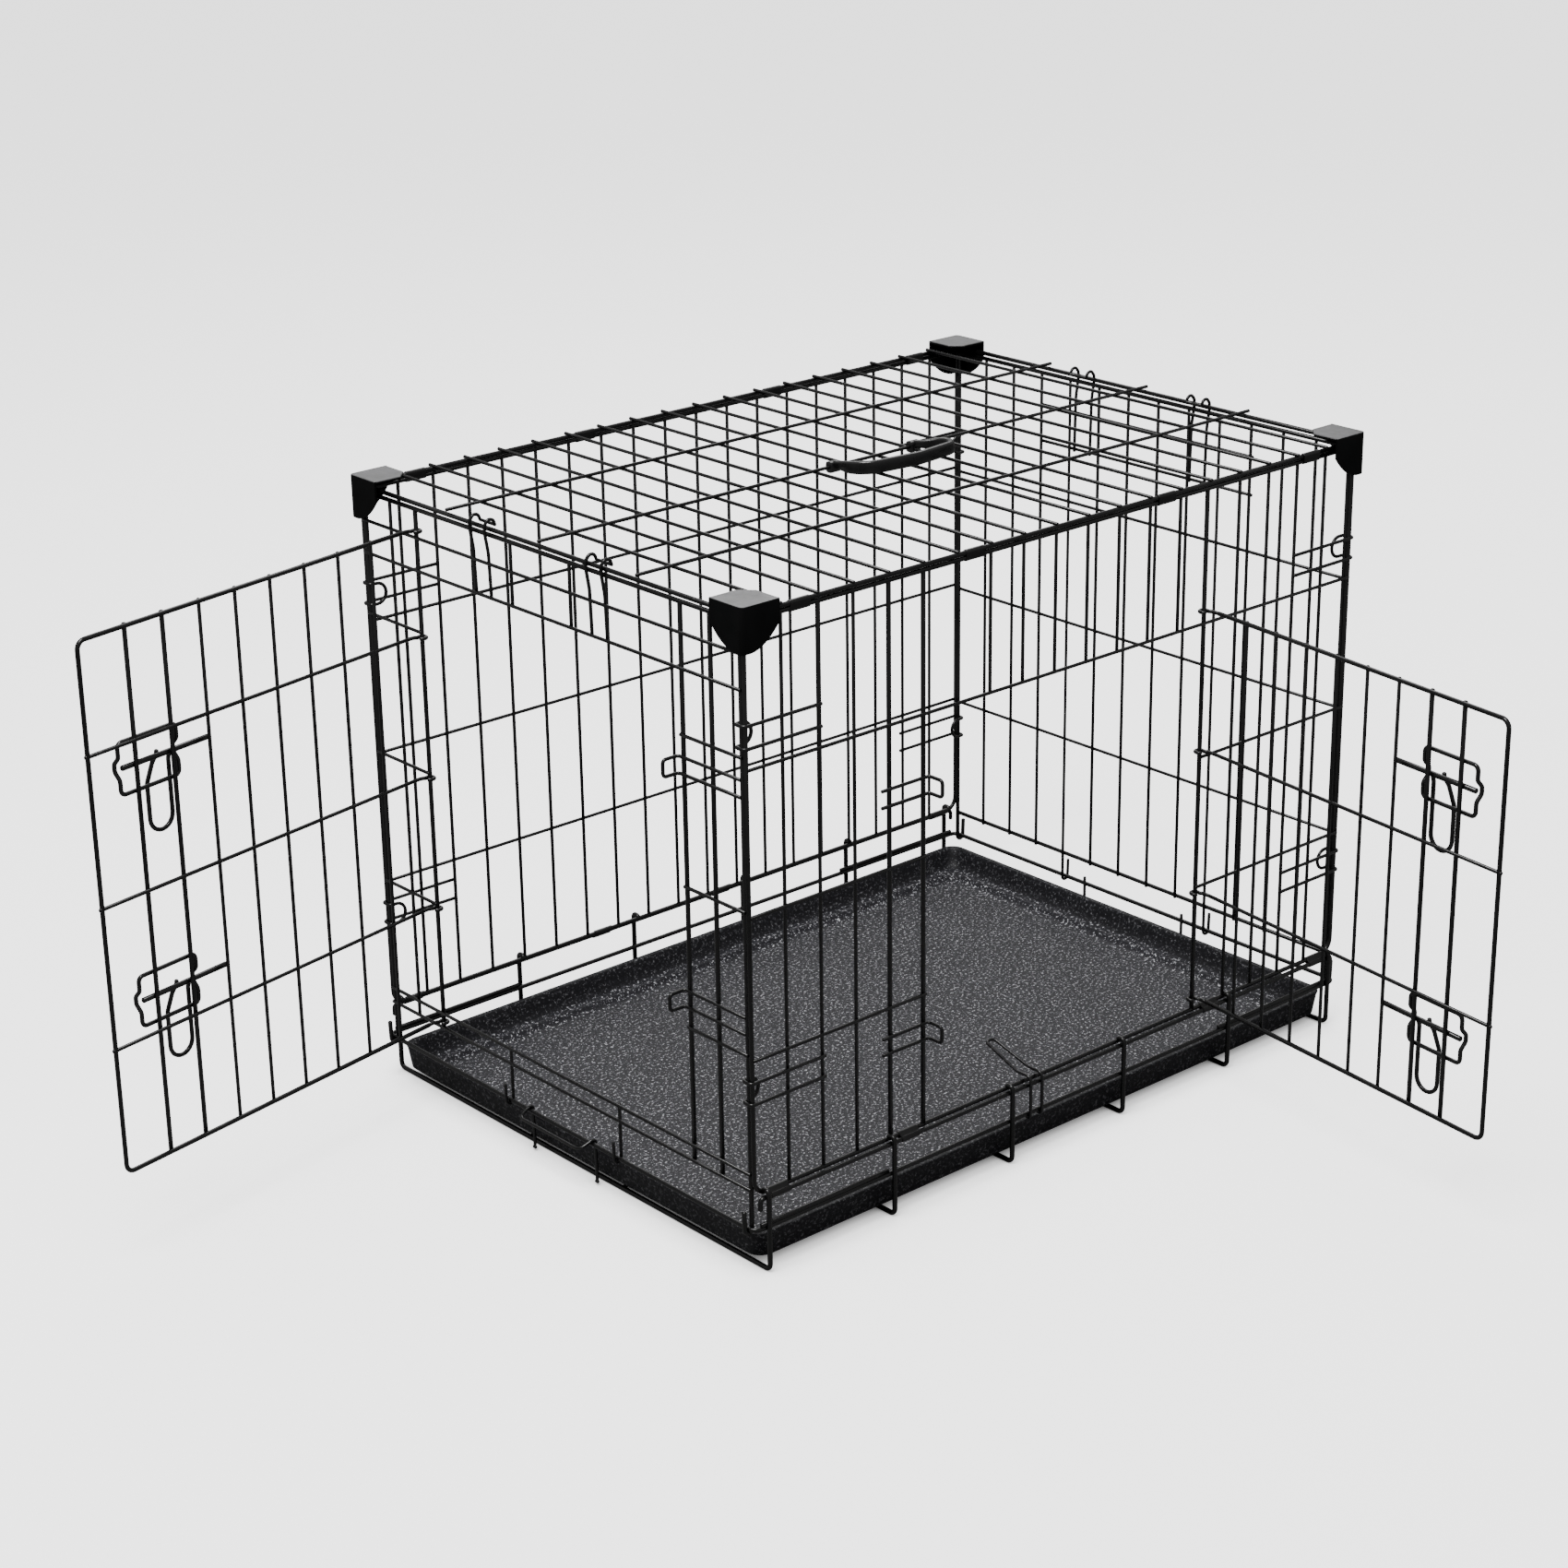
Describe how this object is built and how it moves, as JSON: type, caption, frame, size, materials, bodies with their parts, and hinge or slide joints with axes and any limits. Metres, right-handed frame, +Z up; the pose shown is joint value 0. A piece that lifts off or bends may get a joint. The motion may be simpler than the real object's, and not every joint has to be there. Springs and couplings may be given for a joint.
{
  "type": "wire dog crate",
  "caption": "Folding-style black wire dog crate with an end door and a side door on wire hinges, slide bolts, a plastic slide-out tray, a top carry handle and plastic corner caps",
  "frame": {"origin": "the middle of the tray floor, on its top face", "axes": "+X along the long panels from the door end to the rear end, +Y from the front panel with the side door to the back panel, +Z up"},
  "size_m": [1.1603, 0.9253, 0.6262],
  "materials": {
    "coated_wire": "black electro-coat over steel wire, satin with soft highlights",
    "tray_plastic": "charcoal moulded plastic with a fine speckled grain",
    "cap_plastic": "smooth dark moulded plastic with a soft sheen",
    "handle_plastic": "black flexible moulded plastic"
  },
  "bodies": {
    "crate": {"base_frame": "coated_wire", "front_panel": "coated_wire", "back_panel": "coated_wire", "top_panel": "coated_wire", "door_end_panel": "coated_wire", "rear_end_panel": "coated_wire", "corner_cap_front_door_end": "cap_plastic", "corner_cap_front_rear_end": "cap_plastic", "corner_cap_back_door_end": "cap_plastic", "corner_cap_back_rear_end": "cap_plastic", "front_top_clip_1": "coated_wire", "front_top_clip_2": "coated_wire", "front_top_clip_3": "coated_wire", "front_top_clip_4": "coated_wire", "back_top_clip_1": "coated_wire", "back_top_clip_2": "coated_wire", "back_top_clip_3": "coated_wire", "back_top_clip_4": "coated_wire", "front_base_clip_1": "coated_wire", "front_base_clip_2": "coated_wire", "front_base_clip_3": "coated_wire", "front_base_clip_4": "coated_wire", "back_base_clip_1": "coated_wire", "back_base_clip_2": "coated_wire", "back_base_clip_3": "coated_wire", "back_base_clip_4": "coated_wire"},
    "side_door": {"side_door": "coated_wire", "side_door_lower_bolt_keeper": "coated_wire", "side_door_upper_bolt_keeper": "coated_wire"},
    "end_door": {"end_door": "coated_wire", "end_door_lower_bolt_keeper": "coated_wire", "end_door_upper_bolt_keeper": "coated_wire"},
    "side_door_lower_bolt_body": {"side_door_lower_bolt": "coated_wire"},
    "side_door_lower_handle_body": {"side_door_lower_bolt_handle": "coated_wire"},
    "side_door_upper_bolt_body": {"side_door_upper_bolt": "coated_wire"},
    "side_door_upper_handle_body": {"side_door_upper_bolt_handle": "coated_wire"},
    "end_door_lower_bolt_body": {"end_door_lower_bolt": "coated_wire"},
    "end_door_lower_handle_body": {"end_door_lower_bolt_handle": "coated_wire"},
    "end_door_upper_bolt_body": {"end_door_upper_bolt": "coated_wire"},
    "end_door_upper_handle_body": {"end_door_upper_bolt_handle": "coated_wire"},
    "tray": {"tray": "tray_plastic"},
    "tray_latch": {"tray_latch": "coated_wire"},
    "fold_hook": {"fold_hook": "coated_wire"},
    "carry_handle": {"carry_handle": "handle_plastic"}
  },
  "joints": [
    {"name": "side_door_swing", "type": "hinge", "parent": "crate", "child": "side_door", "pos_m": [0.17646, -0.2695, 0.29272], "axis": [0, 0, 1], "range_deg": [-83.6, 75]},
    {"name": "end_door_swing", "type": "hinge", "parent": "crate", "child": "end_door", "pos_m": [-0.381, 0.1855, 0.29272], "axis": [0, 0, -1], "range_deg": [-79.7, 80]},
    {"name": "side_door_lower_bolt_slide", "type": "slide", "parent": "side_door", "child": "side_door_lower_bolt_body", "axis": [-0.1115, -0.9938, 0], "range_m": [0, 0.037]},
    {"name": "side_door_lower_handle_turn", "type": "hinge", "parent": "side_door_lower_bolt_body", "child": "side_door_lower_handle_body", "pos_m": [0.15765, -0.55829, 0.16072], "axis": [-0.1115, -0.9938, 0], "range_deg": [0, 120]},
    {"name": "side_door_upper_bolt_slide", "type": "slide", "parent": "side_door", "child": "side_door_upper_bolt_body", "axis": [-0.1115, -0.9938, 0], "range_m": [0, 0.037]},
    {"name": "side_door_upper_handle_turn", "type": "hinge", "parent": "side_door_upper_bolt_body", "child": "side_door_upper_handle_body", "pos_m": [0.15765, -0.55829, 0.39472], "axis": [-0.1115, -0.9938, 0], "range_deg": [0, 120]},
    {"name": "end_door_lower_bolt_slide", "type": "slide", "parent": "end_door", "child": "end_door_lower_bolt_body", "axis": [-0.9839, -0.1788, 0], "range_m": [0, 0.037]},
    {"name": "end_door_lower_handle_turn", "type": "hinge", "parent": "end_door_lower_bolt_body", "child": "end_door_lower_handle_body", "pos_m": [-0.68139, 0.14463, 0.22622], "axis": [0.9839, 0.1788, 0], "range_deg": [0, 120]},
    {"name": "end_door_upper_bolt_slide", "type": "slide", "parent": "end_door", "child": "end_door_upper_bolt_body", "axis": [-0.9839, -0.1788, 0], "range_m": [0, 0.037]},
    {"name": "end_door_upper_handle_turn", "type": "hinge", "parent": "end_door_upper_bolt_body", "child": "end_door_upper_handle_body", "pos_m": [-0.68139, 0.14463, 0.44172], "axis": [0.9839, 0.1788, 0], "range_deg": [0, 120]},
    {"name": "tray_slide", "type": "slide", "parent": "crate", "child": "tray", "axis": [-1, 0, 0], "range_m": [0, 0.7]},
    {"name": "tray_latch_lift", "type": "hinge", "parent": "crate", "child": "tray_latch", "pos_m": [-0.385, 0, 0.03572], "axis": [0, 1, 0], "range_deg": [0, 85]},
    {"name": "fold_hook_swing", "type": "hinge", "parent": "crate", "child": "fold_hook", "pos_m": [-0.04412, -0.2737, 0.03572], "axis": [1, 0, 0], "range_deg": [0, 95]},
    {"name": "carry_handle_tilt", "type": "hinge", "parent": "crate", "child": "carry_handle", "pos_m": [0, 0, 0.59832], "axis": [-1, 0, 0], "range_deg": [0, 130]}
  ]
}
